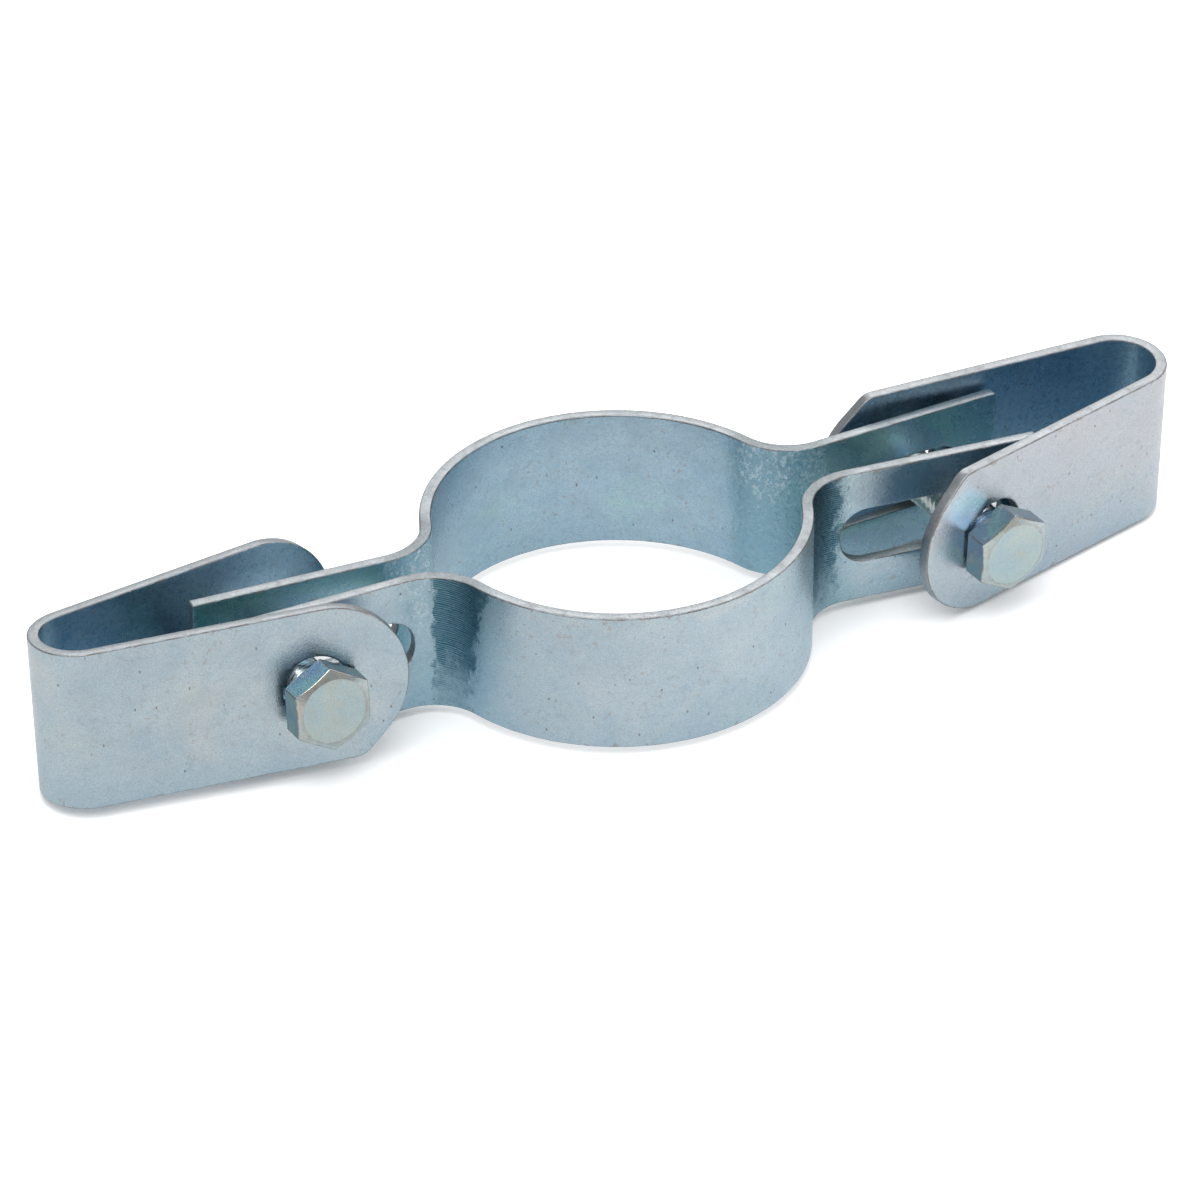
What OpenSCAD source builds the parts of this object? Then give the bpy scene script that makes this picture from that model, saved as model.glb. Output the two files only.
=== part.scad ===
// Mesh fence panel clip: a two-sided clamp for a round fence post.
// Two half clamps close round the post. A hairpin clip straddles their ears
// on each side, takes the edge bar of a mesh panel in its bend, and is held
// by a bolt and nut through its holes and the slots of the ears.
//
// Millimetres. The origin is on the post's axis, at half the height of the
// half clamps. X runs along the ears, +Y is the back, +Z is up the post.

/* [Post and half clamps] */
// Outside diameter of the round post
post_diameter = 76; // [48:0.5:120]
// Room between the post and the half clamps, all round
post_clearance = 0.1; // [0:0.05:1]
// Height of the half clamps' strip
strip_height = 31; // [20:0.5:50]
// Thickness of the half clamps' strip
strip_thickness = 2.5; // [1.5:0.1:4]
// Inside radius of the bend that turns the half ring into an ear
ear_bend_radius = 11.5; // [6:0.5:20]
// Gap between the front and back ears where they leave the ring
ear_gap = 8.3; // [4:0.1:14]
// Angle by which each ear leans away from the other half, in degrees
ear_splay = 3; // [0:0.5:6]
// Straight length of an ear
ear_length = 43; // [30:0.5:70]
// Length of the slot in an ear, end to end
slot_length = 36.5; // [20:0.5:60]
// Room above and below the bolt in the slots, both together
slot_play = 2.5; // [1:0.1:4]
// Steel left between the slot and the end of the ear
slot_margin = 8; // [4:0.5:15]
// Turn of each half clamp round the post, in degrees, opposite ways
half_turn = 1.2; // [0:0.1:2]

/* [Hairpin clips] */
// Diameter of the panel's edge bar that lies in the bend
bar_diameter = 15.8; // [10:0.1:25]
// Room between the bar and the bend, all round
bar_clearance = 0.1; // [0:0.05:1]
// Height of the clips' strip
clip_height = 35; // [24:0.5:50]
// Thickness of the clips' strip
clip_thickness = 2.5; // [1.5:0.1:4]
// Length of a leg from the end of the bend to its tip
leg_length = 65; // [50:0.5:100]
// Distance from the hole's centre to the tip of the leg
hole_to_tip = 19.5; // [15:0.5:25]
// Room round the bolt in the clips' holes, across the diameter
hole_play = 4; // [1:0.1:5]
// Room between an ear's end and the leg beside it, with the clip centred
leg_play = 1.4; // [0.5:0.1:4]

/* [Bolts and nuts] */
// Diameter of the bolt's shank
bolt_diameter = 10; // [8:1:12]
// Width of the hexagon across its flats
hexagon_width = 16; // [13:1:19]
// Height of the bolt's head
head_height = 6.4; // [4:0.1:9]
// Height of the nut
nut_height = 8.4; // [5:0.1:11]
// Length of shank that stands out of the nut
bolt_overhang = 4.5; // [0:0.5:12]
// Room between the shank and the nut's bore, all round
nut_clearance = 0.05; // [0.01:0.01:0.1]

/* [Pose of the loose clips] */
// Distance of the left bolt from the outer end of its slot
left_bolt_inset = 9.4; // [7:0.1:20]
// Distance of the right bolt from the outer end of its slot
right_bolt_inset = 9; // [7:0.1:20]
// Turn of the left clip seen from above, in degrees
left_turn = 1.6; // [-3:0.1:3]
// Turn of the right clip seen from above, in degrees
right_turn = 8.5; // [0:0.1:9]
// Lean of the left clip about its long direction, in degrees
left_lean = -5.5; // [-6:0.1:0]
// Lean of the right clip about its long direction, in degrees
right_lean = 2.4; // [0:0.1:4]
// Shift of the right clip towards the front
right_shift = 1.8; // [0:0.1:2]
// Gap that stays between pieces that lie loosely on each other
rest_gap = 0.25; // [0.1:0.05:0.4]

/* [Hidden] */
$fn = 96;

// Far enough for a cut to pass through the strip it trims.
cut = 1;
// How far a leg's faces cut into the round of the bend they run out of.
seam = 0.002;

// Half clamp. The ring's arc ends where the bend brings the ear to its gap.
ring_radius = post_diameter / 2 + post_clearance;
ring_outer = ring_radius + strip_thickness;
bend_outer = ear_bend_radius + strip_thickness;
bend_centre_radius = ring_outer + ear_bend_radius;
ring_angle = acos((bend_outer * cos(ear_splay) + ear_gap / 2) / bend_centre_radius);
bend_x = bend_centre_radius * sin(ring_angle);
bend_y = -bend_centre_radius * cos(ring_angle);
slot_height = bolt_diameter + slot_play;
slot_outer_end = ear_length - slot_margin;

// Ends of the ears in the frame of one half clamp, and of the widest pair
// once both halves are turned.
ear_end_x = bend_x + ear_length * cos(ear_splay) + bend_outer * sin(ear_splay);
ear_end_y = -bend_y + ear_length * sin(ear_splay) - ear_bend_radius * cos(ear_splay);
ear_end_reach = ear_end_x * cos(half_turn);
ear_end_spread = ear_end_y * cos(half_turn) + ear_end_x * sin(half_turn);

// Clip. The spread of the legs follows from the ears that they straddle.
bar_radius = bar_diameter / 2 + bar_clearance;
clip_outer = bar_radius + clip_thickness;
hole_diameter = bolt_diameter + hole_play;
hole_along_leg = leg_length - hole_to_tip;
tip_radius = clip_height / 2;
ear_past_bolt = slot_margin + left_bolt_inset;
ear_from_bend = hole_along_leg - ear_past_bolt;
half_opening = ear_end_spread + leg_play;
leg_angle = acos(bar_radius / norm([half_opening, ear_from_bend]))
    - atan2(ear_from_bend, half_opening);
// Distance from the bend's centre to the bolt's axis.
bend_to_bolt = hole_along_leg * cos(leg_angle)
    - (bar_radius + clip_thickness / 2) * sin(leg_angle);

// Bolt. Its head and nut bear on the wide side of the leaning legs.
bolt_radius = bolt_diameter / 2;
bearing_radius = 0.46 * hexagon_width;
bearing_height = 0.4;
corner_chamfer = 30;
end_chamfer = 1;
seat = (clip_outer + (bend_to_bolt + bearing_radius) * sin(leg_angle)) / cos(leg_angle)
    + rest_gap;
bolt_length = 2 * seat + nut_height + bolt_overhang;
// A clip stands higher than its bolt, which lies at the bottom of its holes.
clip_rise = hole_play / 2 - rest_gap;
// The right bolt lies lower, on the bottom of the front ear's slot.
right_drop = rest_gap;

left_bolt_x = -(ear_end_reach - slot_margin - left_bolt_inset);
right_bolt_x = ear_end_reach - slot_margin - right_bolt_inset;

front_half_clamp();
back_half_clamp();
left_clip();
right_clip();
left_bolt();
right_bolt();
left_nut();
right_nut();

// Sub-parts

module front_half_clamp() {
    color("lightsteelblue")
        rotate([0, 0, -half_turn])
            half_clamp();
}

module back_half_clamp() {
    color("slategray")
        rotate([0, 0, 180 + half_turn])
            half_clamp();
}

module left_clip() {
    color("silver")
        at_left_bolt()
            translate([0, 0, clip_rise])
                hairpin_clip();
}

// The right clip is the left one turned over, with its bend to the right.
module right_clip() {
    color("gainsboro")
        at_right_bolt()
            translate([0, 0, clip_rise])
                rotate([0, 180, 0])
                    hairpin_clip();
}

module left_bolt() {
    color("goldenrod")
        at_left_bolt()
            bolt();
}

module right_bolt() {
    color("goldenrod")
        at_right_bolt()
            bolt();
}

module left_nut() {
    color("darkkhaki")
        at_left_bolt()
            nut();
}

module right_nut() {
    color("darkkhaki")
        at_right_bolt()
            nut();
}

// Places

// A bolt's place: X along the clip, Y along the bolt towards its nut.
module at_left_bolt() {
    translate([left_bolt_x, 0, 0])
        rotate([left_lean, 0, left_turn])
            children();
}

module at_right_bolt() {
    translate([right_bolt_x, -right_shift, -right_drop])
        rotate([right_lean, 0, right_turn])
            children();
}

// Shapes

// One half clamp, bulging to -Y, with its bends and its two slotted ears.
module half_clamp() {
    difference() {
        translate([0, 0, -strip_height / 2])
            linear_extrude(height = strip_height)
                half_clamp_plan();
        ear_slot();
        mirror([1, 0, 0])
            ear_slot();
    }
}

module half_clamp_plan() {
    difference() {
        clamp_region(ring_outer, ear_bend_radius, 0);
        clamp_region(ring_radius, bend_outer, cut);
    }
}

// The area on the post's side of one face of the strip: the face's radius on
// the ring, its radius on the bends, and how far it runs past the ears.
module clamp_region(on_ring, on_bend, past) {
    circle(r = on_ring);
    ear_region(on_bend, past);
    mirror([1, 0])
        ear_region(on_bend, past);
}

module ear_region(on_bend, past) {
    across = [sin(ear_splay), cos(ear_splay)];
    along = [cos(ear_splay), -sin(ear_splay)];
    bend = [bend_x, bend_y];
    start = bend + on_bend * across;
    finish = start + (ear_length + past) * along;
    difference() {
        polygon([
            [0, 0],
            bend,
            start,
            finish,
            finish + (2 * ring_outer + past) * across,
            [0, 2 * ring_outer + past]
        ]);
        translate(bend)
            circle(r = on_bend);
    }
}

// The cutter for the slot of the right ear.
module ear_slot() {
    translate([bend_x, bend_y, 0])
        rotate([0, 0, -ear_splay])
            translate([slot_outer_end, bend_outer + cut, 0])
                rotate([90, 0, 0])
                    linear_extrude(height = strip_thickness + 2 * cut)
                        slot_outline();
}

// The slot's outline, with its outer end at the origin.
module slot_outline() {
    end = slot_height / 2;
    translate([-end, 0])
        circle(r = end);
    translate([end - slot_length, 0])
        circle(r = end);
    translate([end - slot_length, -end])
        square([slot_length - slot_height, slot_height]);
}

// A hairpin clip with its bend at -X, its legs towards +X and the axis of its
// holes along Y through the origin.
module hairpin_clip() {
    translate([-bend_to_bolt, 0, 0])
        difference() {
            hairpin_space(clip_outer, clip_height, cut);
            hairpin_space(bar_radius, clip_height + 2 * cut, 2 * cut);
            leg_trim();
            mirror([0, 1, 0])
                leg_trim();
        }
}

// The space inside one face of the hairpin: the face's radius on the bend, the
// height, and how far it runs past the tips.
module hairpin_space(on_bend, height, past) {
    start = (on_bend - seam) * [-sin(leg_angle), cos(leg_angle)];
    finish = start + (leg_length + past) * [cos(leg_angle), sin(leg_angle)];
    translate([0, 0, -height / 2]) {
        cylinder(h = height, r = on_bend);
        linear_extrude(height = height)
            polygon([
                start,
                finish,
                [finish[0], -finish[1]],
                [start[0], -start[1]]
            ]);
    }
}

// The cutter that shapes the back leg's tip and drills its hole.
module leg_trim() {
    rotate([0, 0, leg_angle])
        translate([0, clip_outer + cut, 0])
            rotate([90, 0, 0])
                linear_extrude(height = clip_thickness + 2 * cut) {
                    tip_waste();
                    translate([hole_along_leg, 0])
                        circle(d = hole_diameter);
                }
}

// What is cut off a leg's tip: all but a full round that ends in a straight
// bevel at its lower corner.
module tip_waste() {
    tip_centre = leg_length - tip_radius;
    tangent = tip_radius * cos(45);
    bevel_start = tip_radius * tan(22.5);
    translate([tip_centre, 0])
        difference() {
            translate([0, -tip_radius - cut])
                square([tip_radius + 2 * cut, clip_height + 2 * cut]);
            circle(r = tip_radius);
            polygon([
                [0, 0],
                [0, -tip_radius],
                [bevel_start, -tip_radius],
                [tangent, -tangent]
            ]);
        }
}

// A hexagon bolt along Y, with its head in front of the clip.
module bolt() {
    translate([0, -seat, 0])
        rotate([-90, 0, 0]) {
            shank();
            translate([0, 0, -head_height])
                chamfered_hexagon(head_height - bearing_height, true, false);
        }
}

// The shank and the round face under the head, turned as one piece.
module shank() {
    rotate_extrude()
        polygon([
            [0, -head_height / 2],
            [bearing_radius, -head_height / 2],
            [bearing_radius, 0],
            [bolt_radius, 0],
            [bolt_radius, bolt_length - end_chamfer],
            [bolt_radius - end_chamfer, bolt_length],
            [0, bolt_length]
        ]);
}

module nut() {
    translate([0, seat, 0])
        rotate([-90, 0, 0])
            difference() {
                chamfered_hexagon(nut_height, true, true);
                translate([0, 0, -cut])
                    cylinder(h = nut_height + 2 * cut, r = bolt_radius + nut_clearance);
            }
}

// A hexagonal prism on z = 0 with two corners along Y and its corners turned
// off at the bottom, the top or both.
module chamfered_hexagon(height, bottom, top) {
    corner = hexagon_width / 2 / cos(30);
    face = 0.95 * hexagon_width / 2;
    drop = (corner + cut - face) * tan(corner_chamfer);
    bottom_drop = bottom ? drop : 0;
    bottom_face = bottom ? face : corner + cut;
    top_drop = top ? drop : 0;
    top_face = top ? face : corner + cut;
    intersection() {
        rotate([0, 0, 30])
            cylinder(h = height, r = corner, $fn = 6);
        rotate_extrude()
            polygon([
                [0, 0],
                [bottom_face, 0],
                [corner + cut, bottom_drop],
                [corner + cut, height - top_drop],
                [top_face, height],
                [0, height]
            ]);
    }
}
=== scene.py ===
"""Looks of the mesh fence panel clip: zinc plated strip, bolts and nuts, on a white table.

The strip parts are pressed from flat blanks, so each is made flat, with its
holes and rounded edges, and is then bent along its path. Lengths are in
millimetres up to the last step, which scales them to metres.
"""

from math import acos, atan2, cos, hypot, pi, radians, sin, tan
from types import SimpleNamespace

import bmesh
import bpy
from mathutils import Matrix, Vector
from mathutils.kdtree import KDTree


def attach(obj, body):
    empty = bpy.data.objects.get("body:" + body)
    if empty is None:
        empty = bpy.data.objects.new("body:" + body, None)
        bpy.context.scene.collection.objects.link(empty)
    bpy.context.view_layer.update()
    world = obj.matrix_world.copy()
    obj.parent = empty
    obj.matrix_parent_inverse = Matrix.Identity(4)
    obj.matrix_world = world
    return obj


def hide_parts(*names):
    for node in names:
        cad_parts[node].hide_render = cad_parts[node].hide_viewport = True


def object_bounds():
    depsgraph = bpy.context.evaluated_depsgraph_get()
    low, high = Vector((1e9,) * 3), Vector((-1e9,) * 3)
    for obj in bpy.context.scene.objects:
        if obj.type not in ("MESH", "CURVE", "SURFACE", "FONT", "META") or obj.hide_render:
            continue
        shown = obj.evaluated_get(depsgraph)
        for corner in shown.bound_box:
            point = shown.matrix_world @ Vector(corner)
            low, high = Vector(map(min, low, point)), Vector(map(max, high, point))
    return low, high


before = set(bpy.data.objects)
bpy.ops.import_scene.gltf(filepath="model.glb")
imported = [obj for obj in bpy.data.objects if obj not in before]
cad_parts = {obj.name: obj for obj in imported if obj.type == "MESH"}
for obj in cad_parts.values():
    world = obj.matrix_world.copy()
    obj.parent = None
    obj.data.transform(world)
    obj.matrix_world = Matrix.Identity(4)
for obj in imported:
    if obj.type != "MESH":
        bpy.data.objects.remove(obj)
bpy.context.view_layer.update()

MM = 0.001

# Sizes, in millimetres
POST_RADIUS = 38.1
STRIP_HEIGHT = 31.0
THICKNESS = 2.5
EAR_BEND_RADIUS = 11.5
EAR_GAP = 8.3
EAR_SPLAY = radians(3.0)
EAR_LENGTH = 43.0
SLOT_LENGTH = 36.5
SLOT_HEIGHT = 12.5
SLOT_MARGIN = 8.0
HALF_TURN = radians(1.2)

BAR_RADIUS = 8.0
CLIP_HEIGHT = 35.0
LEG_LENGTH = 65.0
HOLE_TO_TIP = 19.5
HOLE_RADIUS = 7.0
LEG_PLAY = 1.4

BOLT_RADIUS = 5.0
HEXAGON_WIDTH = 16.0
HEAD_HEIGHT = 6.4
NUT_HEIGHT = 8.4
BOLT_OVERHANG = 4.5
REST_GAP = 0.25
THREAD_PITCH = 1.5
THREAD_DEPTH = 0.85
# The share of a pitch that each crest and root is flat for, and where the thread starts and stops.
THREAD_FLAT = 0.08
THREAD_FROM_HEAD = 3.0
THREAD_FROM_END = 1.2
HEAD_FILLET = 0.4
NUT_COUNTERSINK = 0.6
BEARING_RADIUS = 0.46 * HEXAGON_WIDTH
BEARING_HEIGHT = 0.4

LEFT_BOLT_INSET = 9.4
RIGHT_BOLT_INSET = 9.0
LEFT_TURN = radians(1.6)
RIGHT_TURN = radians(8.5)
LEFT_LEAN = radians(-5.5)
RIGHT_LEAN = radians(2.4)
RIGHT_SHIFT = 1.8

# Radius that the sheared edges and the holes' rims are rounded to.
EDGE_RADIUS = 0.35
EAR_CORNER_RADIUS = 0.5
TIP_CORNER_RADIUS = 4.0
# A head's or nut's end is flat within this radius, and falls away outside it.
END_RADIUS = 0.89 * HEXAGON_WIDTH / 2
CHAMFER_SLOPE = tan(radians(23))
HEXAGON_EDGE = 0.1
# The angles from a hexagon's corner to its edge's end and to the plain side beside it.
CORNER_ANGLE = radians(0.6)
BESIDE_ANGLE = radians(2.4)
# Distances between the points of an arc and of a small corner, and between the cuts that let
# a blank bend. Points nearer to each other than WELD are one.
ARC_STEP = 0.35
CORNER_STEP = 0.15
STRAIGHT_CUT = 2.0
RING_CUT = 1.2
EAR_BEND_CUT = 0.8
HAIRPIN_CUT = 0.5
WELD = 1e-4
# The size of the square that a blank's UV map covers, and how far it is raised in it.
UV_SPAN = 200.0
UV_RISE = 20.0
# How far the shader's marks are shifted from one strip to the next, in metres.
PATCH_STEP = 0.1

# What follows from the sizes above, as in the part itself.
RING_OUTER = POST_RADIUS + THICKNESS
BEND_OUTER = EAR_BEND_RADIUS + THICKNESS
BEND_CENTRE = RING_OUTER + EAR_BEND_RADIUS
RING_ANGLE = acos((BEND_OUTER * cos(EAR_SPLAY) + EAR_GAP / 2) / BEND_CENTRE)
EAR_END_X = (BEND_CENTRE * sin(RING_ANGLE) + EAR_LENGTH * cos(EAR_SPLAY)
             + BEND_OUTER * sin(EAR_SPLAY))
EAR_END_Y = (BEND_CENTRE * cos(RING_ANGLE) + EAR_LENGTH * sin(EAR_SPLAY)
             - EAR_BEND_RADIUS * cos(EAR_SPLAY))
EAR_REACH = EAR_END_X * cos(HALF_TURN)
EAR_SPREAD = EAR_END_Y * cos(HALF_TURN) + EAR_END_X * sin(HALF_TURN)

CLIP_OUTER = BAR_RADIUS + THICKNESS
HOLE_ALONG_LEG = LEG_LENGTH - HOLE_TO_TIP
EAR_FROM_BEND = HOLE_ALONG_LEG - SLOT_MARGIN - LEFT_BOLT_INSET
HALF_OPENING = EAR_SPREAD + LEG_PLAY
LEG_ANGLE = acos(BAR_RADIUS / hypot(HALF_OPENING, EAR_FROM_BEND)) - atan2(EAR_FROM_BEND, HALF_OPENING)
BEND_TO_BOLT = HOLE_ALONG_LEG * cos(LEG_ANGLE) - (BAR_RADIUS + THICKNESS / 2) * sin(LEG_ANGLE)
SEAT = (CLIP_OUTER + (BEND_TO_BOLT + BEARING_RADIUS) * sin(LEG_ANGLE)) / cos(LEG_ANGLE) + REST_GAP
BOLT_LENGTH = 2 * SEAT + NUT_HEIGHT + BOLT_OVERHANG
CLIP_RISE = HOLE_RADIUS - BOLT_RADIUS - REST_GAP


def place(x, y, z, turn, lean):
    """The matrix of a bolt's place: X along the clip, Y along the bolt towards its nut."""
    return Matrix.Translation((x, y, z)) @ Matrix.Rotation(turn, 4, "Z") @ Matrix.Rotation(lean, 4, "X")


LEFT_BOLT_X = -(EAR_REACH - SLOT_MARGIN - LEFT_BOLT_INSET)
RIGHT_BOLT_X = EAR_REACH - SLOT_MARGIN - RIGHT_BOLT_INSET
LEFT_PLACE = place(LEFT_BOLT_X, 0, 0, LEFT_TURN, LEFT_LEAN)
RIGHT_PLACE = place(RIGHT_BOLT_X, -RIGHT_SHIFT, -REST_GAP, RIGHT_TURN, RIGHT_LEAN)


# Strip pieces
class StripPath:
    """The middle line of a bent strip in plan, made of straight and round runs."""

    def __init__(self, runs):
        self.runs = []
        at, heading, start = Vector((0.0, 0.0)), 0.0, 0.0
        for kind, size, turn in runs:
            length = size if kind == "line" else size * abs(turn)
            self.runs.append((start, length, at.copy(), heading, kind, size, turn))
            at, heading = self._along(self.runs[-1], length)
            start += length
        self.length = start

    @staticmethod
    def _along(run, distance):
        start, length, at, heading, kind, size, turn = run
        if kind == "line":
            return at + distance * Vector((cos(heading), sin(heading))), heading
        side = 1.0 if turn > 0 else -1.0
        centre = at + side * size * Vector((-sin(heading), cos(heading)))
        now = heading + side * distance / size
        return centre - side * size * Vector((-sin(now), cos(now))), now

    def point(self, s):
        """The place and heading at a distance s along the path."""
        for run in self.runs:
            if s <= run[0] + run[1] or run is self.runs[-1]:
                return self._along(run, s - run[0])


def arc(centre_x, centre_y, radius, start, finish, step=ARC_STEP):
    """Points along an arc, its angles in radians, about one every step millimetres."""
    count = max(4, int(abs(finish - start) * radius / step))
    return [
        (centre_x + radius * cos(start + (finish - start) * i / count),
         centre_y + radius * sin(start + (finish - start) * i / count))
        for i in range(count + 1)
    ]


def rounded_box(x0, x1, y0, y1, r):
    """The outline of a blank with slightly rounded corners."""
    quarter = pi / 2
    corners = ((x1 - r, y1 - r), (x0 + r, y1 - r), (x0 + r, y0 + r), (x1 - r, y0 + r))
    points = []
    for k, (x, y) in enumerate(corners):
        points += arc(x, y, r, k * quarter, (k + 1) * quarter, CORNER_STEP)
    return points


def slot(x0, x1, height):
    """The outline of a slot with round ends."""
    r = height / 2
    return arc(x1 - r, 0, r, -pi / 2, pi / 2) + arc(x0 + r, 0, r, pi / 2, 1.5 * pi)


def blank(name, outline, holes, thickness, edge):
    """A flat plate in X and Y with holes and rounded edges, as a bmesh."""
    curve = bpy.data.curves.new(name, "CURVE")
    curve.dimensions = "2D"
    curve.fill_mode = "BOTH"
    curve.extrude = thickness / 2 - edge
    curve.bevel_depth = edge
    curve.bevel_resolution = 3
    curve.offset = -edge
    for points in [outline] + holes:
        spline = curve.splines.new("POLY")
        following = points[1:] + points[:1]
        clean = [p for p, q in zip(points, following) if hypot(p[0] - q[0], p[1] - q[1]) > WELD]
        spline.points.add(len(clean) - 1)
        for target, (x, y) in zip(spline.points, clean):
            target.co = (x, y, 0, 1)
        spline.use_cyclic_u = True
    holder = bpy.data.objects.new(name, curve)
    bpy.context.scene.collection.objects.link(holder)
    bpy.context.view_layer.update()
    evaluated = holder.evaluated_get(bpy.context.evaluated_depsgraph_get())
    mesh = bpy.data.meshes.new_from_object(evaluated)
    bm = bmesh.new()
    bm.from_mesh(mesh)
    bpy.data.objects.remove(holder)
    bpy.data.curves.remove(curve)
    bpy.data.meshes.remove(mesh)
    bmesh.ops.remove_doubles(bm, verts=bm.verts, dist=WELD)
    return bm


def slice_blank(bm, x_cuts, y_cuts):
    """Cuts the flat faces along lines of constant X and Y, so that they can bend."""
    for axis, cuts in ((Vector((0, 1, 0)), y_cuts), (Vector((1, 0, 0)), x_cuts)):
        for value in cuts:
            bmesh.ops.bisect_plane(
                bm, geom=bm.verts[:] + bm.edges[:] + bm.faces[:],
                dist=WELD, plane_co=axis * value, plane_no=axis)


def rim_points(outline, holes, step=0.3):
    """A search tree of points along all the sheared edges of a blank."""
    points = []
    for loop in [outline] + holes:
        for (x0, y0), (x1, y1) in zip(loop, loop[1:] + loop[:1]):
            count = max(1, int(hypot(x1 - x0, y1 - y0) / step))
            points += [(x0 + (x1 - x0) * i / count, y0 + (y1 - y0) * i / count, 0)
                       for i in range(count)]
    tree = KDTree(len(points))
    for i, point in enumerate(points):
        tree.insert(point, i)
    tree.balance()
    return tree


def smooth_step(low, high, value):
    """Rises smoothly from 0 at low to 1 at high."""
    t = min(max((value - low) / (high - low), 0.0), 1.0)
    return t * t * (3 - 2 * t)


def add_layer(mesh, name, values):
    """Gives every vertex of a mesh a number."""
    mesh.attributes.new(name, "FLOAT", "POINT").data.foreach_set("value", values)


def bend_strip(name, bm, path, rim, inner_side, bend_wear):
    """Bends a flat blank along its path and makes the mesh, in millimetres.

    Each vertex keeps its place in the flat blank, and carries how far it lies
    from the nearest sheared edge, which way it faces, whether that is inwards to
    the post or bar, whether it is on an ear, and how much its bend stretched and
    crushed it.
    """
    bm.normal_update()
    flat = [(v.co.copy(), v.normal.copy()) for v in bm.verts]
    normals = []
    for v, (co, normal) in zip(bm.verts, flat):
        at, heading = path.point(min(max(co.x, 0.0), path.length))
        along = Vector((cos(heading), sin(heading), 0))
        across = Vector((-sin(heading), cos(heading), 0))
        v.co = Vector((at.x, at.y, 0)) + across * co.z + Vector((0, 0, co.y))
        v.normal = along * normal.x + across * normal.z + Vector((0, 0, normal.y))
        normals.append(v.normal.copy())
    # Bending turns the flat plate's Y up and its Z across, which flips its faces.
    bmesh.ops.reverse_faces(bm, faces=bm.faces[:])
    mesh = bpy.data.meshes.new(name)
    bm.to_mesh(mesh)
    bm.free()
    uv = mesh.uv_layers.new(name="UVMap")
    wear = [bend_wear(co.x, co.y) for co, normal in flat]
    add_layer(mesh, "rim", [rim.find((co.x, co.y, 0))[2] for co, normal in flat])
    add_layer(mesh, "side", [normal.z for co, normal in flat])
    add_layer(mesh, "inside", [max(inner_side * normal.z, 0.0) for co, normal in flat])
    for k, key in enumerate(("ear", "bend", "crushed")):
        add_layer(mesh, key, [values[k] for values in wear])
    place_flat = mesh.attributes.new("flat", "FLOAT_VECTOR", "POINT")
    for i, (co, normal) in enumerate(flat):
        place_flat.data[i].vector = co * MM
    for loop in mesh.loops:
        co = flat[loop.vertex_index][0]
        uv.data[loop.index].uv = (co.x / UV_SPAN, (co.y + UV_RISE) / UV_SPAN)
    mesh.polygons.foreach_set("use_smooth", [True] * len(mesh.polygons))
    mesh.normals_split_custom_set_from_vertices(normals)
    return mesh


def link_piece(name, node, mesh, material):
    """Puts a mesh in the scene as the piece that stands for a node of the part."""
    obj = bpy.data.objects.new(name, mesh)
    bpy.context.scene.collection.objects.link(obj)
    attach(obj, "root")
    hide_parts(node)
    mesh.materials.append(material)


def place_strip(node, mesh, to_row, material, patch, warmth, blue):
    """A copy of a bent strip in the row frame, with stains, warmth and inner blue painted shade of its own.
    """
    mesh = mesh.copy()
    mesh.name = node + "_strip"
    mesh.transform(Matrix.Scale(MM, 4) @ to_row)
    for item in mesh.attributes["flat"].data:
        x, y, z = item.vector
        item.vector = (x, y, z + PATCH_STEP * patch)
    add_layer(mesh, "warmth", [warmth] * len(mesh.vertices))
    add_layer(mesh, "blue", [blue] * len(mesh.vertices))
    link_piece(node + "_strip", node, mesh, material)


def steps(start, finish, step):
    """Evenly spread values between two ends, about a step apart, without the ends."""
    count = max(1, round((finish - start) / step))
    return [start + (finish - start) * i / count for i in range(1, count)]


def both_sides(*distances):
    """Zero, and each distance to both sides of it."""
    return [0] + [sign * distance for distance in distances for sign in (-1, 1)]


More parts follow.
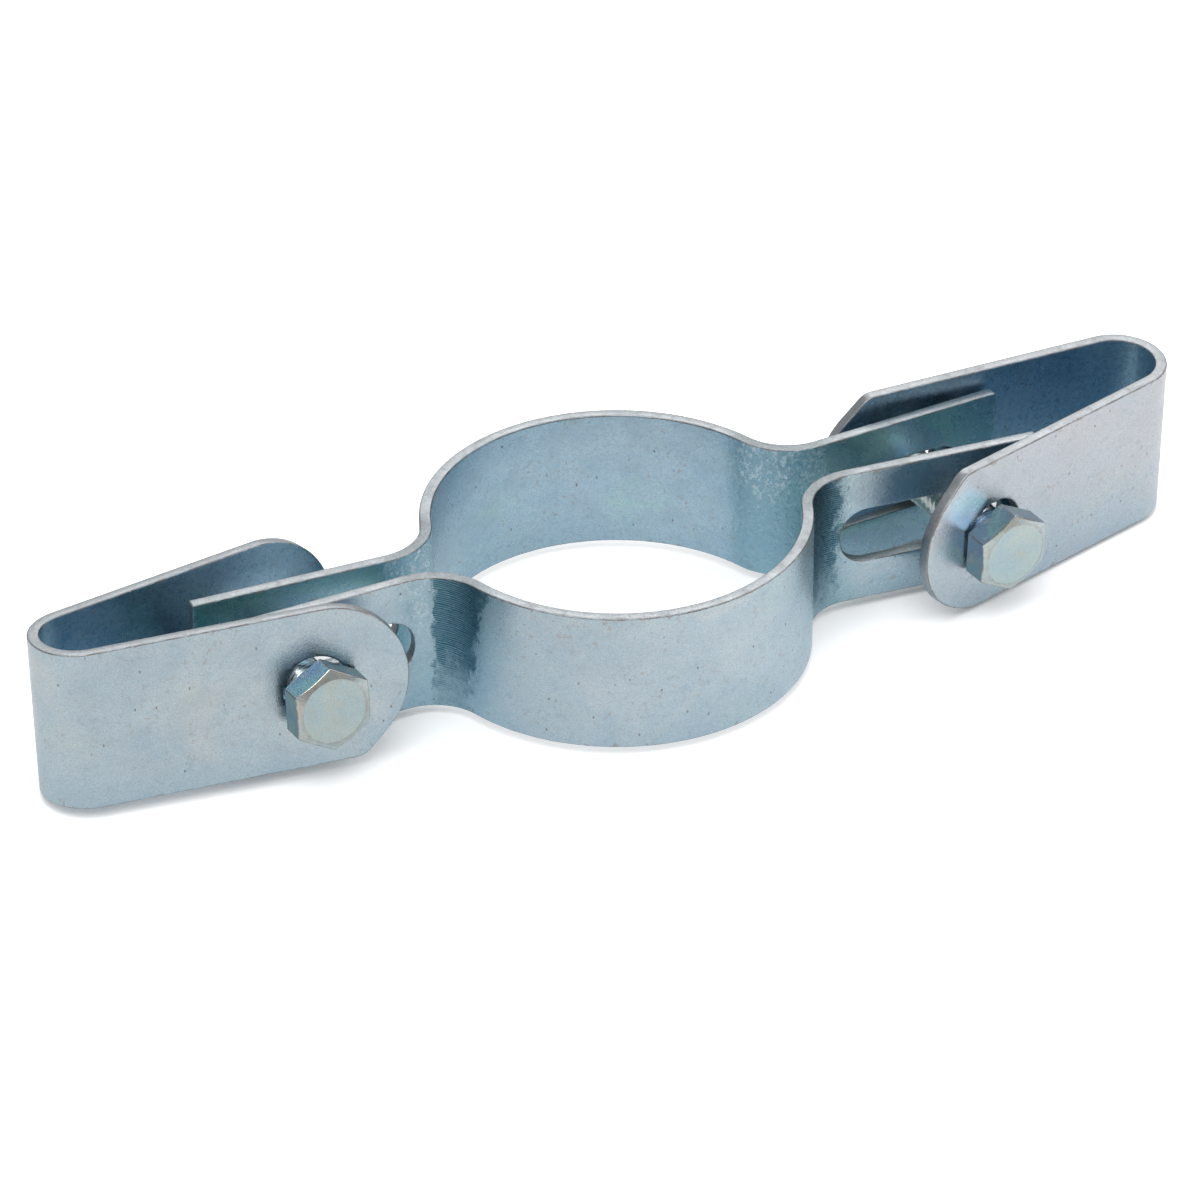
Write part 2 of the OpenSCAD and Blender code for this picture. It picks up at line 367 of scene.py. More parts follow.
def half_clamp_mesh():
    """A half clamp that bulges to -Y."""
    mid_ring = POST_RADIUS + THICKNESS / 2
    mid_bend = EAR_BEND_RADIUS + THICKNESS / 2
    bend_turn = RING_ANGLE + EAR_SPLAY
    path = StripPath([
        ("line", EAR_LENGTH, 0), ("bend", mid_bend, -bend_turn), ("ring", mid_ring, 2 * RING_ANGLE),
        ("bend", mid_bend, -bend_turn), ("line", EAR_LENGTH, 0)])
    middle, heading = path.point(path.length / 2)
    total = path.length
    half = STRIP_HEIGHT / 2
    outline = rounded_box(0, total, -half, half, EAR_CORNER_RADIUS)
    holes = [slot(SLOT_MARGIN, SLOT_MARGIN + SLOT_LENGTH, SLOT_HEIGHT),
             slot(total - SLOT_MARGIN - SLOT_LENGTH, total - SLOT_MARGIN, SLOT_HEIGHT)]
    bm = blank("half_clamp", outline, holes, THICKNESS, EDGE_RADIUS)
    bend_length = mid_bend * bend_turn
    ring_start = EAR_LENGTH + bend_length
    near_side = steps(0, EAR_LENGTH, STRAIGHT_CUT)
    near_side += steps(EAR_LENGTH - EAR_BEND_CUT, ring_start + EAR_BEND_CUT, EAR_BEND_CUT)
    ring = steps(ring_start, total - ring_start, RING_CUT)
    slice_blank(bm, near_side + ring + [total - x for x in near_side], both_sides(4, 8, 11, 13, 14.2))

    def bend_wear(x, y):
        """Whether a place is on an ear, and how far its bend stretched and crushed the strip.

        What sets them is the distance into the bend from the ear's end.
        """
        into = min(x, total - x) - EAR_LENGTH
        stretched = smooth_step(-4, 1, into) * (1 - smooth_step(bend_length - 1, bend_length + 7, into))
        # The far end of each half clamp is crushed further out along its ear, so its creases and painted
        # shade start further out.
        start = 3.5 if x < total / 2 else -3.5
        finish = bend_length - 4 + 0.2 * y
        crushed = smooth_step(start, 8.5, into) * (1 - smooth_step(finish, finish + 8, into))
        return 1 - smooth_step(-2, bend_length, into), stretched, crushed

    straighten = Matrix.Rotation(-heading, 4, "Z")
    ring_top = straighten @ Vector((middle.x, middle.y, 0))
    shift = Matrix.Translation(Vector((0, -mid_ring, 0)) - ring_top)
    mesh = bend_strip("half_clamp", bm, path, rim_points(outline, holes), 1, bend_wear)
    mesh.transform(shift @ straighten)
    return mesh


def clip_mesh():
    """A hairpin clip, its bend at -X and its holes' axis along Y through the origin."""
    mid_bend = BAR_RADIUS + THICKNESS / 2
    path = StripPath([
        ("line", LEG_LENGTH, 0), ("bend", mid_bend, -(pi - 2 * LEG_ANGLE)), ("line", LEG_LENGTH, 0)])
    total = path.length
    half = CLIP_HEIGHT / 2
    # The lower corner is cut off at 45 degrees, and the cut starts with a rounded corner.
    cut_start = half - (half - TIP_CORNER_RADIUS) * tan(pi / 8)
    corner = arc(cut_start, TIP_CORNER_RADIUS - half, TIP_CORNER_RADIUS, 1.5 * pi, 1.25 * pi)
    tip = corner + arc(half, 0, half, 1.25 * pi, 0.5 * pi)
    outline = tip + [(total - x, y) for x, y in reversed(tip)]
    holes = [arc(x, 0, HOLE_RADIUS, 0, 2 * pi)[:-1] for x in (HOLE_TO_TIP, total - HOLE_TO_TIP)]
    bm = blank("clip", outline, holes, THICKNESS, EDGE_RADIUS)
    front_leg = steps(0, LEG_LENGTH, STRAIGHT_CUT)
    bend = steps(LEG_LENGTH - HAIRPIN_CUT, total - LEG_LENGTH + HAIRPIN_CUT, HAIRPIN_CUT)
    back_leg = steps(total - LEG_LENGTH, total, STRAIGHT_CUT)
    slice_blank(bm, front_leg + bend + back_leg, both_sides(5, 10, 13, 15, 16.2))

    def no_wear(x, y):
        return 0.0, 0.0, 0.0

    # The path starts at the front leg's tip and heads for the bend.
    back_to_front = Matrix.Rotation(pi - LEG_ANGLE, 4, "Z")
    bend_end, heading = path.point(LEG_LENGTH)
    centre = back_to_front @ Vector((bend_end.x, bend_end.y - mid_bend, 0))
    shift = Matrix.Translation(Vector((-BEND_TO_BOLT, 0, 0)) - centre)
    mesh = bend_strip("clip", bm, path, rim_points(outline, holes), -1, no_wear)
    mesh.transform(shift @ back_to_front)
    return mesh


# Bolts and nuts
def place_fastener(name, node, bm, to_row, along, material):
    """Lays a fastener that was made along Z along Y, and puts it in the row frame."""
    lie = Matrix.Translation((0, along, 0)) @ Matrix.Rotation(-pi / 2, 4, "X")
    mesh = bpy.data.meshes.new(name)
    bm.to_mesh(mesh)
    bm.free()
    mesh.transform(Matrix.Scale(MM, 4) @ (to_row @ lie))
    mesh.polygons.foreach_set("use_smooth", [True] * len(mesh.polygons))
    mesh.set_sharp_from_angle(angle=radians(20))
    link_piece(name, node, mesh, material)


def hexagon_outline():
    """Directions around a hexagon: (angle, distance of the side, 1 on a corner's edge and else 0)."""
    half_side = pi / 6
    corner, plain = half_side - CORNER_ANGLE, half_side - BESIDE_ANGLE
    offsets = [-corner, -plain] + [plain * (2 * i / 9 - 1) for i in range(1, 9)] + [plain, corner]
    outline = []
    for k in range(6):
        # Sides face 0, 60 ... degrees, so that a corner is on top.
        for i, offset in enumerate(offsets):
            edge = 1.0 if i in (0, len(offsets) - 1) else 0.0
            outline.append((k * pi / 3 + offset, HEXAGON_WIDTH / 2 / cos(offset), edge))
    return outline


HEXAGON = hexagon_outline()


def hexagon_loop(bm, radius, height, worn):
    """A loop of vertices about Z. Radius and height are numbers, or functions of the side's distance.

    The worn layer holds 1 on an edge. Here worn is a number, or "corners" for the corners alone.
    """
    layer = bm.verts.layers.float.get("worn") or bm.verts.layers.float.new("worn")
    loop = []
    for angle, side, edge in HEXAGON:
        r = radius(side) if callable(radius) else radius
        z = height(side) if callable(height) else height
        vert = bm.verts.new((r * cos(angle), r * sin(angle), z))
        vert[layer] = edge if worn == "corners" else worn
        loop.append(vert)
    return loop


def join_loops(bm, loops):
    """Faces between each loop of vertices and the next."""
    for lower, upper in zip(loops, loops[1:]):
        for i in range(len(lower)):
            j = (i + 1) % len(lower)
            bm.faces.new((lower[i], lower[j], upper[j], upper[i]))


def chamfered_end(bm, end, inward):
    """Loops from the flat end of a hexagonal body to its sides. inward is +1 or -1 along Z."""
    def loop_at(inset, depth, cone_inset, worn):
        """A loop this far in from the sides, and this deep below the cone's line at another inset."""
        def height(side):
            return end + inward * (depth + (side - cone_inset - END_RADIUS) * CHAMFER_SLOPE)
        return hexagon_loop(bm, lambda side: side - inset, height, worn)

    # The flat's rim is slightly rounded, and worn.
    rim_drop, beside_edge, down_side = 0.05, 0.3, 0.25
    flat = [(END_RADIUS - 0.35, 0.0, 0.0), (END_RADIUS - 0.12, 0.01, 0.5), (END_RADIUS, rim_drop, 0.5)]
    loops = [hexagon_loop(bm, r, end + inward * depth, worn) for r, depth, worn in flat]
    loops.append(loop_at(beside_edge, rim_drop, beside_edge, 0.0))
    loops.append(loop_at(HEXAGON_EDGE, rim_drop, HEXAGON_EDGE, 1.0))
    loops.append(loop_at(0, rim_drop + HEXAGON_EDGE, HEXAGON_EDGE, 1.0))
    loops.append(loop_at(0, down_side + HEXAGON_EDGE, HEXAGON_EDGE, "corners"))
    return loops


def turned(bm, profile, closed_end, segments=48):
    """Adds a turned body from (radius, z) points about Z."""
    angles = [2 * pi * i / segments for i in range(segments)]
    loops = [[bm.verts.new((r * cos(a), r * sin(a), z)) for a in angles] for r, z in profile]
    join_loops(bm, loops)
    if closed_end:
        bm.faces.new(loops[-1])


def threaded(bm, start, finish, segments=48, per_pitch=8):
    """Adds a right-hand thread between two heights, which fades in over its first turn."""
    count = int((finish - start) / THREAD_PITCH * per_pitch)
    loops = []
    for k in range(count + 1):
        z = start + (finish - start) * k / count
        fade = min((z - start) / THREAD_PITCH, 1.0)
        loop = []
        for i in range(segments):
            angle = 2 * pi * i / segments
            phase = ((z / THREAD_PITCH) - angle / (2 * pi)) % 1.0
            ridge = (abs(2 * phase - 1) - THREAD_FLAT) / (1 - 2 * THREAD_FLAT)
            r = BOLT_RADIUS - THREAD_DEPTH * (1 - min(max(ridge, 0.0), 1.0)) * fade
            loop.append(bm.verts.new((r * cos(angle), r * sin(angle), z)))
        loops.append(loop)
    join_loops(bm, loops)


def make_bolt(node, to_row, material):
    """A hexagon bolt along +Z from the underside of its head, turned to lie along +Y."""
    bm = bmesh.new()
    loops = chamfered_end(bm, -HEAD_HEIGHT, 1)
    bm.faces.new(list(reversed(loops[0])))
    loops.append(hexagon_loop(bm, lambda side: side, -BEARING_HEIGHT, "corners"))
    # The round bearing face under the head, and the fillet into the shank.
    bearing_edge = 0.06
    underside = [
        (BEARING_RADIUS, -BEARING_HEIGHT), (BEARING_RADIUS, -bearing_edge),
        (BEARING_RADIUS - bearing_edge, 0), (BOLT_RADIUS + 0.35, 0), (BOLT_RADIUS + 0.1, 0.12),
        (BOLT_RADIUS, HEAD_FILLET)]
    loops += [hexagon_loop(bm, radius, z, 0.0) for radius, z in underside]
    join_loops(bm, loops)
    thread_end = BOLT_LENGTH - THREAD_FROM_END
    root = BOLT_RADIUS - THREAD_DEPTH
    turned(bm, [(BOLT_RADIUS, HEAD_FILLET), (BOLT_RADIUS, THREAD_FROM_HEAD)], closed_end=False)
    threaded(bm, THREAD_FROM_HEAD, thread_end)
    point = [(BOLT_RADIUS - THREAD_DEPTH * 0.9, thread_end - 0.01), (root, BOLT_LENGTH - 0.15),
             (root - 0.2, BOLT_LENGTH)]
    turned(bm, point, closed_end=True)
    bmesh.ops.remove_doubles(bm, verts=bm.verts, dist=WELD)
    bmesh.ops.recalc_face_normals(bm, faces=bm.faces)
    place_fastener(node + "_threaded", node, bm, to_row, -SEAT, material)


def make_nut(node, to_row, material):
    """A hexagon nut from z = 0, turned to lie along +Y behind the clip."""
    bm = bmesh.new()
    bore = BOLT_RADIUS + 0.05
    sink = NUT_COUNTERSINK
    loops = chamfered_end(bm, 0, 1) + list(reversed(chamfered_end(bm, NUT_HEIGHT, -1)))
    for radius, z in ((bore + sink, NUT_HEIGHT), (bore, NUT_HEIGHT - sink), (bore, sink), (bore + sink, 0)):
        loops.append(hexagon_loop(bm, radius, z, 0.0))
    join_loops(bm, loops + loops[:1])
    bmesh.ops.recalc_face_normals(bm, faces=bm.faces)
    place_fastener(node + "_hexagon", node, bm, to_row, SEAT, material)


# Materials
class Nodes:
    """A short way to write a shader's nodes."""

    def __init__(self, name):
        self.material = bpy.data.materials.new(name)
        self.material.use_nodes = True
        self.tree = self.material.node_tree
        self.tree.nodes.clear()

    def add(self, kind, inputs=None, **settings):
        node = self.tree.nodes.new(kind)
        for key, value in settings.items():
            setattr(node, key, value)
        for key, value in (inputs or {}).items():
            socket = node.inputs[key]
            if isinstance(value, bpy.types.NodeSocket):
                self.tree.links.new(value, socket)
            else:
                socket.default_value = value
        return node

    def math(self, operation, a, b):
        return self.add("ShaderNodeMath", {0: a, 1: b}, operation=operation).outputs[0]

    def total(self, *values):
        result = values[0]
        for value in values[1:]:
            result = self.math("ADD", result, value)
        return result

    def product(self, *values):
        result = values[0]
        for value in values[1:]:
            result = self.math("MULTIPLY", result, value)
        return result

    def ramp(self, value, low, high, out_low=0.0, out_high=1.0):
        """Goes smoothly from out_low, where the value is low, to out_high, where it is high."""
        inputs = {"Value": value, "From Min": low, "From Max": high, "To Min": out_low, "To Max": out_high}
        return self.add("ShaderNodeMapRange", inputs, interpolation_type="SMOOTHSTEP").outputs[0]

    def noise(self, vector, scale, detail, roughness, distortion=0.0):
        """Noise whose scale is in marks per metre, so that 1000 makes them a millimetre wide."""
        inputs = {"Vector": vector, "Scale": scale, "Detail": detail, "Roughness": roughness,
                  "Distortion": distortion}
        return self.add("ShaderNodeTexNoise", inputs).outputs["Fac"]

    def mix(self, factor, a, b):
        """Goes from colour a, where the factor is 0, to colour b, where it is 1."""
        node = self.add("ShaderNodeMix", data_type="RGBA")
        for index, value in ((0, factor), (6, a), (7, b)):
            socket = node.inputs[index]
            if isinstance(value, bpy.types.NodeSocket):
                self.tree.links.new(value, socket)
            elif isinstance(value, tuple):
                socket.default_value = (*value, 1.0)
            else:
                socket.default_value = value
        return node.outputs[2]

    def attribute(self, name, output="Fac"):
        return self.add("ShaderNodeAttribute", attribute_name=name).outputs[output]

    def part_of(self, vector, axis):
        """One number of a vector: 0 for X, 1 for Y, 2 for Z."""
        return self.add("ShaderNodeSeparateXYZ", {0: vector}).outputs[axis]

    def scaled(self, vector, x, y, z):
        return self.add("ShaderNodeMapping", {"Vector": vector, "Scale": (x, y, z)}).outputs[0]

    def drawn_out(self, vector, turn, stretch):
        """Turns a vector about Z, and then draws what is made from it out along X."""
        inputs = {"Vector": vector, "Rotation": (0, 0, turn), "Scale": (stretch, 1, 1)}
        return self.add("ShaderNodeMapping", inputs, vector_type="TEXTURE").outputs[0]

    def surface(self, shader):
        out = self.add("ShaderNodeOutputMaterial")
        self.tree.links.new(shader, out.inputs[0])

    def metal(self, tint, roughness, height):
        """Finishes a metal whose bumps are as high as height says, in metres."""
        bump = self.add("ShaderNodeBump", {"Strength": 1.0, "Distance": 1.0, "Height": height})
        shader = self.add("ShaderNodeBsdfPrincipled", {
            "Base Color": tint, "Metallic": 1.0, "Roughness": roughness, "Normal": bump.outputs[0]})
        self.surface(shader.outputs[0])
        return self.material


def strip_layers(n):
    """What the strip's material knows of each place: its vertex layers, and what follows from them."""
    flat = n.attribute("flat", "Vector")
    side = n.attribute("side")
    face = n.math("ABSOLUTE", side, 0.0)
    # A bend's hollow side was crushed, its other side stretched.
    hollow_side = n.ramp(side, -0.5, 0.5, 1.0, 0.0)
    return SimpleNamespace(
        flat=flat,
        height=n.part_of(flat, 1),
        rim=n.product(n.attribute("rim"), MM),
        side=side,
        face=face,
        sheared=n.ramp(face, 0.55, 0.95, 1.0, 0.0),
        # inside is how strong the painted shade on the inner sides is: the inner side, times the piece's
        # blue.
        inside=n.product(n.attribute("inside"), n.attribute("blue")),
        ear=n.attribute("ear"),
        warmth=n.attribute("warmth"),
        crushed=n.product(n.attribute("crushed"), hollow_side),
        stretched=n.product(n.attribute("bend"), n.ramp(side, -0.5, 0.5, 0.6, 1.0)),
        # worn is a noise that only makes the edges of the bends' painted shade and glints ragged.
        worn=n.noise(n.scaled(flat, 1.0, 0.7, 1.0), 420.0, 5.0, 0.72, 0.5),
    )


def strip_tint(n, at):
    """Slow tints of the passivation: blue, with paler, pinker and greener clouds, and a deeper blue painted
    shade inside.
    """
    cloud = n.noise(at.flat, 60.0, 4.0, 0.6, 0.6)
    tint = n.mix(n.ramp(cloud, 0.38, 0.62), (0.455, 0.565, 0.63), (0.52, 0.61, 0.655))
    warm = n.noise(n.scaled(at.flat, 0.8, 1.2, 1.0), 40.0, 4.0, 0.6, 1.0)
    tint = n.mix(n.ramp(warm, 0.50, 0.68, 0.0, 0.6), tint, (0.60, 0.635, 0.64))
    tint = n.mix(n.product(at.warmth, n.ramp(warm, 0.3, 0.5, 0.55, 0.9)), tint, (0.565, 0.56, 0.585))
    green = n.noise(n.scaled(at.flat, 0.7, 1.3, 1.0), 34.0, 5.0, 0.6, 0.8)
    tint = n.mix(n.ramp(green, 0.52, 0.72, 0.0, 0.5), tint, (0.52, 0.62, 0.585))

    # Painted shade and reflection of the recesses: the inner sides are a deeper blue, greener on the ears,
    # with dark and pale mottling.
    greener = n.total(green, n.product(at.ear, 0.2))
    deep = n.mix(n.ramp(greener, 0.56, 0.72), (0.36, 0.54, 0.68), (0.38, 0.68, 0.65))
    # The ears' inner sides, which face each other across the gap, get part of this painted shade.
    ear_gap_shade = n.product(at.ear, n.ramp(at.side, 0.5, 0.9, 0.0, 0.7))
    tint = n.mix(n.math("MAXIMUM", at.inside, ear_gap_shade), tint, deep)
    mottled = n.noise(at.flat, 800.0, 5.0, 0.75, 0.2)
    tint = n.mix(n.product(at.inside, n.ramp(mottled, 0.50, 0.62, 0.0, 0.5)), tint, (0.15, 0.30, 0.44))
    return n.mix(n.product(at.inside, n.ramp(mottled, 0.36, 0.48, 0.4, 0.0)), tint, (0.50, 0.66, 0.74))


def strip_grain(n, at, tint):
    """Grain and mottling, from a fifth of a millimetre upwards, with clusters of rusty specks."""
    grain = n.noise(at.flat, 3000.0, 3.0, 0.7)
    tint = n.mix(n.ramp(grain, 0.40, 0.66, 0.0, 0.34), tint, (0.26, 0.35, 0.42))
    pale = n.noise(n.scaled(at.flat, 1.0, 1.0, 3.0), 2300.0, 3.0, 0.7)
    tint = n.mix(n.ramp(pale, 0.52, 0.72, 0.0, 0.40), tint, (0.68, 0.72, 0.73))
    patches = n.noise(at.flat, 460.0, 5.0, 0.7, 0.3)
    tint = n.mix(n.ramp(patches, 0.53, 0.74, 0.0, 0.42), tint, (0.30, 0.40, 0.46))
    specks = n.noise(n.scaled(at.flat, 1.0, 0.8, 2.0), 900.0, 4.0, 0.7, 0.3)
    clustered = n.ramp(n.noise(at.flat, 75.0, 3.0, 0.6), 0.44, 0.60, 0.3, 1.0)
    rusty = n.product(n.ramp(specks, 0.57, 0.67, 0.0, 0.65), clustered)
    return n.mix(rusty, tint, (0.40, 0.335, 0.29))


def strip_pits(n, at):
    """Where the small brown pits are, some of them drawn out up and down."""
    pit = n.add("ShaderNodeTexVoronoi", {"Vector": n.scaled(at.flat, 1.0, 0.62, 1.0), "Scale": 430.0})
    chance = n.add("ShaderNodeSeparateColor", {0: pit.outputs["Color"]}).outputs[0]
    kept = n.math("GREATER_THAN", chance, 0.5)
    return n.product(n.ramp(pit.outputs["Distance"], 0.04, 0.12, 0.75, 0.0), kept)


def strip_creases(n, at):
    """Fine wrinkles that run along the strip, slightly downhill."""
    inputs = {"Vector": n.drawn_out(at.flat, -0.16, 4.0), "Scale": 640.0, "Distortion": 5.0, "Detail": 3.0,
              "Detail Scale": 1.2, "Detail Roughness": 0.65}
    return n.add("ShaderNodeTexWave", inputs, bands_direction="Y").outputs["Fac"]


def strip_bends(n, at, crease, tint):
    """Teal in the bends, dark and creased on their crushed sides, most of all in the upper part: painted
    shade and reflection, with painted glints.
    """
    tint = n.mix(n.product(at.stretched, 0.4), tint, (0.18, 0.43, 0.51))
    # Painted shade: the dark patch on the crushed sides has ragged edges and fades downwards.
    ragged = n.ramp(n.total(at.crushed, n.ramp(at.worn, 0.3, 0.7, -0.3, 0.3)), 0.3, 0.6)
    ragged_height = n.total(at.height, n.ramp(at.worn, 0.3, 0.7, -0.004, 0.004))
    reach_down = n.ramp(ragged_height, -0.015, -0.001, 0.2, 1.0)
    dark = n.product(ragged, reach_down, n.ramp(crease, 0.3, 0.9, 1.0, 0.5))
    tint = n.mix(dark, tint, (0.035, 0.135, 0.19))
    # Painted glints: pale flecks where the stretched strip went rough.
    glint_spots = n.noise(n.scaled(at.flat, 1.0, 0.6, 1.0), 1300.0, 4.0, 0.75)
    glint = n.product(at.stretched, n.ramp(ragged_height, 0.0, 0.008), n.ramp(glint_spots, 0.50, 0.60, 0.0, 0.6))
    uncrushed = n.ramp(at.crushed, 0.0, 0.5, 1.0, 0.0)
    return n.mix(n.product(glint, uncrushed), tint, (0.80, 0.86, 0.87))


def strip_edges(n, at, striped, stain, tint):
    """The sheared edges are plainer, with stains and a broken brown line where they meet the faces."""
    plain = n.mix(n.ramp(striped, 0.35, 0.65), (0.28, 0.295, 0.305), (0.36, 0.37, 0.375))
    tint = n.mix(n.product(at.sheared, 0.9), tint, plain)
    tint = n.mix(n.product(stain, n.ramp(at.face, 0.4, 0.9)), tint, (0.36, 0.28, 0.23))
    corner = n.product(n.ramp(at.face, 0.45, 0.75), n.ramp(at.face, 0.85, 0.998, 1.0, 0.0))
    broken = n.ramp(n.noise(at.flat, 300.0, 4.0, 0.7), 0.40, 0.56, 0.1, 0.85)
    return n.mix(n.product(corner, broken), tint, (0.21, 0.15, 0.115))


def plated_strip():
    """Bright zinc over pressed strip: bluish, faintly mottled, creased in the tight bends."""
    n = Nodes("zinc_plated_strip")
    at = strip_layers(n)
    pits = strip_pits(n, at)
    crease = strip_creases(n, at)
    striped = n.noise(n.scaled(at.flat, 1.0, 1.0, 0.5), 2400.0, 3.0, 0.65)
    stain_shape = n.noise(n.scaled(at.flat, 1.0, 0.5, 1.0), 420.0, 4.0, 0.68, 0.5)
    stain_reach = n.ramp(stain_shape, 0.5, 0.76, 0.0, 0.0018)
    stain = n.ramp(n.math("SUBTRACT", stain_reach, at.rim), 0.0, 0.0005, 0.0, 0.5)

    tint = strip_grain(n, at, strip_tint(n, at))
    tint = n.mix(pits, tint, (0.24, 0.17, 0.13))
    tint = strip_bends(n, at, crease, tint)
    tint = strip_edges(n, at, striped, stain, tint)

    polish = n.ramp(n.noise(at.flat, 160.0, 3.0, 0.6), 0.3, 0.7, 0.20, 0.32)
    roughness = n.total(polish, n.product(n.math("MAXIMUM", stain, pits), 0.25),
                        n.product(at.sheared, 0.12), n.product(at.inside, 0.04))
    # Fine grain, slow waves, torn edges, creases, orange peel in the bends, and pits.
    height = n.total(
        n.product(n.noise(at.flat, 2600.0, 3.0, 0.65), 0.00006),
        n.product(n.noise(at.flat, 70.0, 1.0, 0.4), 0.00012),
        n.product(striped, at.sheared, 0.00005),
        n.product(crease, at.crushed, 0.00004),
        n.product(n.noise(at.flat, 1200.0, 4.0, 0.7), at.stretched, 0.0003),
        n.product(pits, -0.00006))
    return n.metal(tint, roughness, height)


def plated_fastener():
    """Bright zinc over a forged bolt: pale ends, silver and tan chamfers, and blue sides."""
    n = Nodes("zinc_plated_fastener")
    at = n.add("ShaderNodeTexCoord").outputs["Object"]
    slow = n.noise(at, 110.0, 2.0, 0.5, 0.6)
    ends = n.mix(n.ramp(slow, 0.35, 0.65), (0.43, 0.54, 0.57), (0.50, 0.57, 0.545))
    chamfers = n.mix(n.ramp(slow, 0.4, 0.6), (0.56, 0.56, 0.50), (0.50, 0.57, 0.58))
    sides = n.mix(n.ramp(slow, 0.4, 0.6), (0.23, 0.39, 0.42), (0.20, 0.30, 0.42))
    # The ends of a bolt face along Y, its sides across it.
    along = n.math("ABSOLUTE", n.part_of(n.add("ShaderNodeNewGeometry").outputs["Normal"], 1), 0.0)
    tint = n.mix(n.ramp(along, 0.94, 0.985), chamfers, ends)
    tint = n.mix(n.ramp(along, 0.4, 0.8), sides, tint)
    gold = n.noise(at, 300.0, 3.0, 0.6, 0.3)
    tint = n.mix(n.ramp(gold, 0.56, 0.72, 0.0, 0.45), tint, (0.55, 0.51, 0.40))
    grain = n.noise(at, 2600.0, 3.0, 0.7)
    tint = n.mix(n.ramp(grain, 0.40, 0.66, 0.0, 0.28), tint, (0.28, 0.36, 0.38))
    # Brown shows where the plating is thin, on the edges.
    uneven = n.ramp(n.noise(at, 700.0, 3.0, 0.6), 0.35, 0.6, 0.15, 0.75)
    tint = n.mix(n.product(n.attribute("worn"), uneven), tint, (0.28, 0.20, 0.16))
    roughness = n.ramp(n.noise(at, 300.0, 3.0, 0.6), 0.3, 0.7, 0.18, 0.28)
    peel = n.product(n.noise(at, 2200.0, 3.0, 0.6), 0.00003)
    waves = n.product(n.noise(at, 170.0, 1.0, 0.5), 0.00006)
    return n.metal(tint, roughness, n.total(peel, waves))


# The pieces in their places
strip_material = plated_strip()
fastener_material = plated_fastener()

half_clamp = half_clamp_mesh()
front = Matrix.Rotation(-HALF_TURN, 4, "Z")
back = Matrix.Rotation(pi + HALF_TURN, 4, "Z")
# blue sets how strong each piece's painted shade on its inner sides is.
place_strip("front_half_clamp", half_clamp, front, strip_material, patch=1, warmth=0.1, blue=0.38)
place_strip("back_half_clamp", half_clamp, back, strip_material, patch=2, warmth=0.0, blue=0.38)

clip = clip_mesh()
raised = Matrix.Translation((0, 0, CLIP_RISE))
turned_over = Matrix.Rotation(pi, 4, "Y")
left = LEFT_PLACE @ raised
right = RIGHT_PLACE @ raised @ turned_over
# Here too blue sets how strong the painted shade on the inner sides is.
place_strip("left_clip", clip, left, strip_material, patch=3, warmth=0.1, blue=0.85)
place_strip("right_clip", clip, right, strip_material, patch=4, warmth=0.9, blue=1.0)

make_bolt("left_bolt", LEFT_PLACE, fastener_material)
make_bolt("right_bolt", RIGHT_PLACE, fastener_material)
make_nut("left_nut", LEFT_PLACE, fastener_material)
make_nut("right_nut", RIGHT_PLACE, fastener_material)


# Table, light and camera
def table_material():
    """White to the camera with a soft shadow, partly painted from ambient occlusion, and white to the
    metal, with painted shade that is bluer where less light gets in.
    """
    n = Nodes("white_table")
    path = n.add("ShaderNodeLightPath").outputs
    x = n.part_of(n.add("ShaderNodeNewGeometry").outputs["Position"], 0)
    open_sky = n.add("ShaderNodeAmbientOcclusion", {"Distance": 0.045}, samples=3).outputs["AO"]

    cloth = n.add("ShaderNodeBsdfDiffuse", {"Color": (0.8, 0.8, 0.8, 1)})
    # Painted shade: the glow that makes the table white to the camera fades where the part is close by.
    seen = n.math("MAXIMUM", path["Is Camera Ray"], path["Is Transmission Ray"])
    glow = n.add("ShaderNodeEmission", {"Color": (1, 1, 1, 1), "Strength": n.product(seen, 0.7, open_sky)})
    plain = n.add("ShaderNodeAddShader", {0: cloth.outputs[0], 1: glow.outputs[0]})

    # Painted light: under the left end some light is added to the deepest corners too.
    light = n.math("MAXIMUM", open_sky, n.ramp(x, -0.09, -0.03, 0.3, 0.0))
    # Painted shade: the table that the metal sees is darker and bluer where less light gets in.
    colour = n.add("ShaderNodeCombineColor", {
        index: n.math("POWER", light, exponent) for index, exponent in enumerate((0.58, 0.36, 0.25))})
    # Painted light: in the metal the table glows a little brighter towards the right.
    mirrored = n.add("ShaderNodeEmission", {
        "Color": colour.outputs[0], "Strength": n.ramp(x, -0.12, 0.12, 0.95, 1.14)})
    both = n.add("ShaderNodeMixShader", {
        0: path["Is Glossy Ray"], 1: plain.outputs[0], 2: mirrored.outputs[0]})
    n.surface(both.outputs[0])
    return n.material


def make_table():
    """A white table just under the part."""
    mesh = bpy.data.meshes.new("table_top")
    bm = bmesh.new()
    bmesh.ops.create_grid(bm, x_segments=1, y_segments=1, size=6.0)
    bm.to_mesh(mesh)
    bm.free()
    mesh.materials.append(table_material())
    table = bpy.data.objects.new("table_top", mesh)
    table.location.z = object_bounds()[0][2] - 0.0002
    bpy.context.scene.collection.objects.link(table)


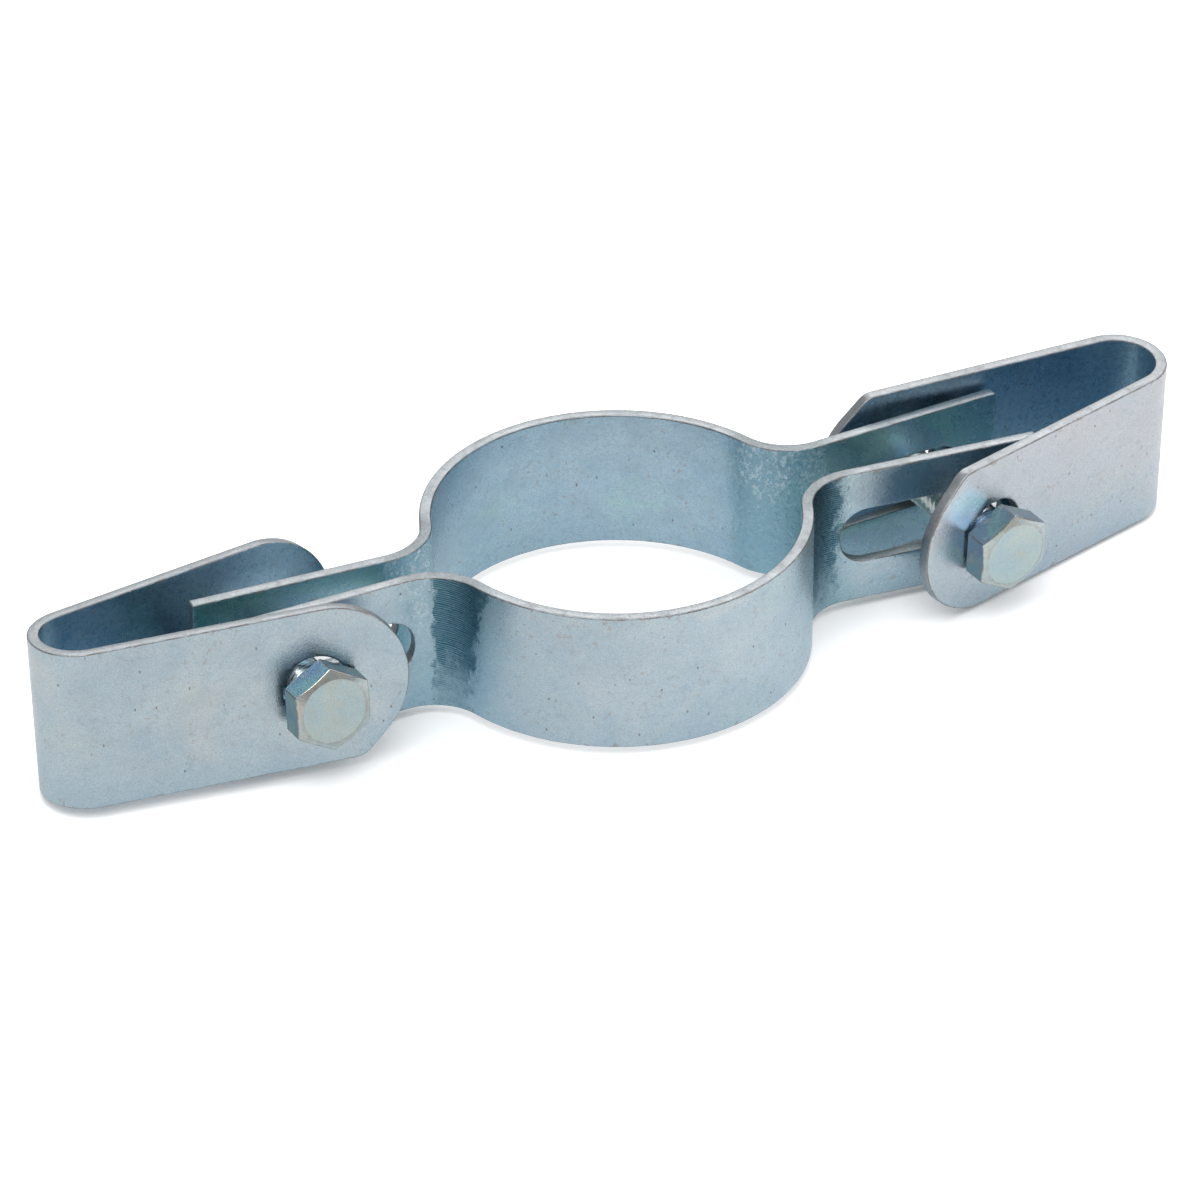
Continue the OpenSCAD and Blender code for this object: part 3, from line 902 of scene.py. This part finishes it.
def make_world():
    """A soft room: pale to the camera, and a cooler grey to everything else."""
    world = bpy.data.worlds.new("soft_room")
    bpy.context.scene.world = world
    world.use_nodes = True
    tree = world.node_tree
    tree.nodes.clear()
    path = tree.nodes.new("ShaderNodeLightPath")
    light = tree.nodes.new("ShaderNodeBackground")
    light.inputs[0].default_value = (0.93, 0.96, 1.0, 1)
    light.inputs[1].default_value = 0.5
    pale = tree.nodes.new("ShaderNodeBackground")
    pale.inputs[1].default_value = 1.0
    choose = tree.nodes.new("ShaderNodeMixShader")
    out = tree.nodes.new("ShaderNodeOutputWorld")
    tree.links.new(path.outputs["Is Camera Ray"], choose.inputs[0])
    tree.links.new(light.outputs[0], choose.inputs[1])
    tree.links.new(pale.outputs[0], choose.inputs[2])
    tree.links.new(choose.outputs[0], out.inputs[0])


def softbox(name, azimuth, elevation, distance, width, height, power):
    """An area lamp that looks at the part, placed by azimuth from -Y towards +X, in degrees."""
    lamp = bpy.data.lights.new(name, "AREA")
    lamp.shape = "RECTANGLE"
    lamp.size = width
    lamp.size_y = height
    lamp.energy = power
    obj = bpy.data.objects.new(name, lamp)
    a, e = radians(azimuth), radians(elevation)
    obj.location = distance * Vector((sin(a) * cos(e), -cos(a) * cos(e), sin(e)))
    obj.rotation_euler = (-obj.location).to_track_quat("-Z", "Y").to_euler()
    bpy.context.scene.collection.objects.link(obj)


def make_camera():
    """The camera that was fitted to the photograph's outlines, its lengths in millimetres."""
    azimuth, elevation, roll = radians(25.49), radians(32.70), radians(0.02)
    distance, target_right, target_up = 1669.0, -3.394, -4.980
    focal_pixels, frame_pixels, sensor = 8092.0, 1200.0, 36.0
    back = Vector((-sin(azimuth) * cos(elevation), -cos(azimuth) * cos(elevation), sin(elevation)))
    right = Vector((cos(azimuth), -sin(azimuth), 0))
    up = back.cross(right)
    centre = target_right * right + target_up * up + distance * back
    camera = bpy.data.cameras.new("photo_camera")
    camera.sensor_width = sensor
    camera.lens = focal_pixels / frame_pixels * sensor
    camera.clip_end = 20
    obj = bpy.data.objects.new("photo_camera", camera)
    axes = Matrix((right, up, back)).transposed().to_4x4()
    obj.matrix_world = Matrix.Translation(centre * MM) @ axes @ Matrix.Rotation(roll, 4, "Z")
    bpy.context.scene.collection.objects.link(obj)
    bpy.context.scene.camera = obj


make_table()
make_world()
softbox("key_softbox", azimuth=-35, elevation=62, distance=1.3, width=0.9, height=0.9, power=11)
softbox("fill_softbox", azimuth=60, elevation=40, distance=1.6, width=1.0, height=1.0, power=6)
softbox("back_softbox", azimuth=152, elevation=42, distance=1.5, width=1.2, height=0.6, power=7)
make_camera()
bpy.context.scene.view_settings.view_transform = "Standard"
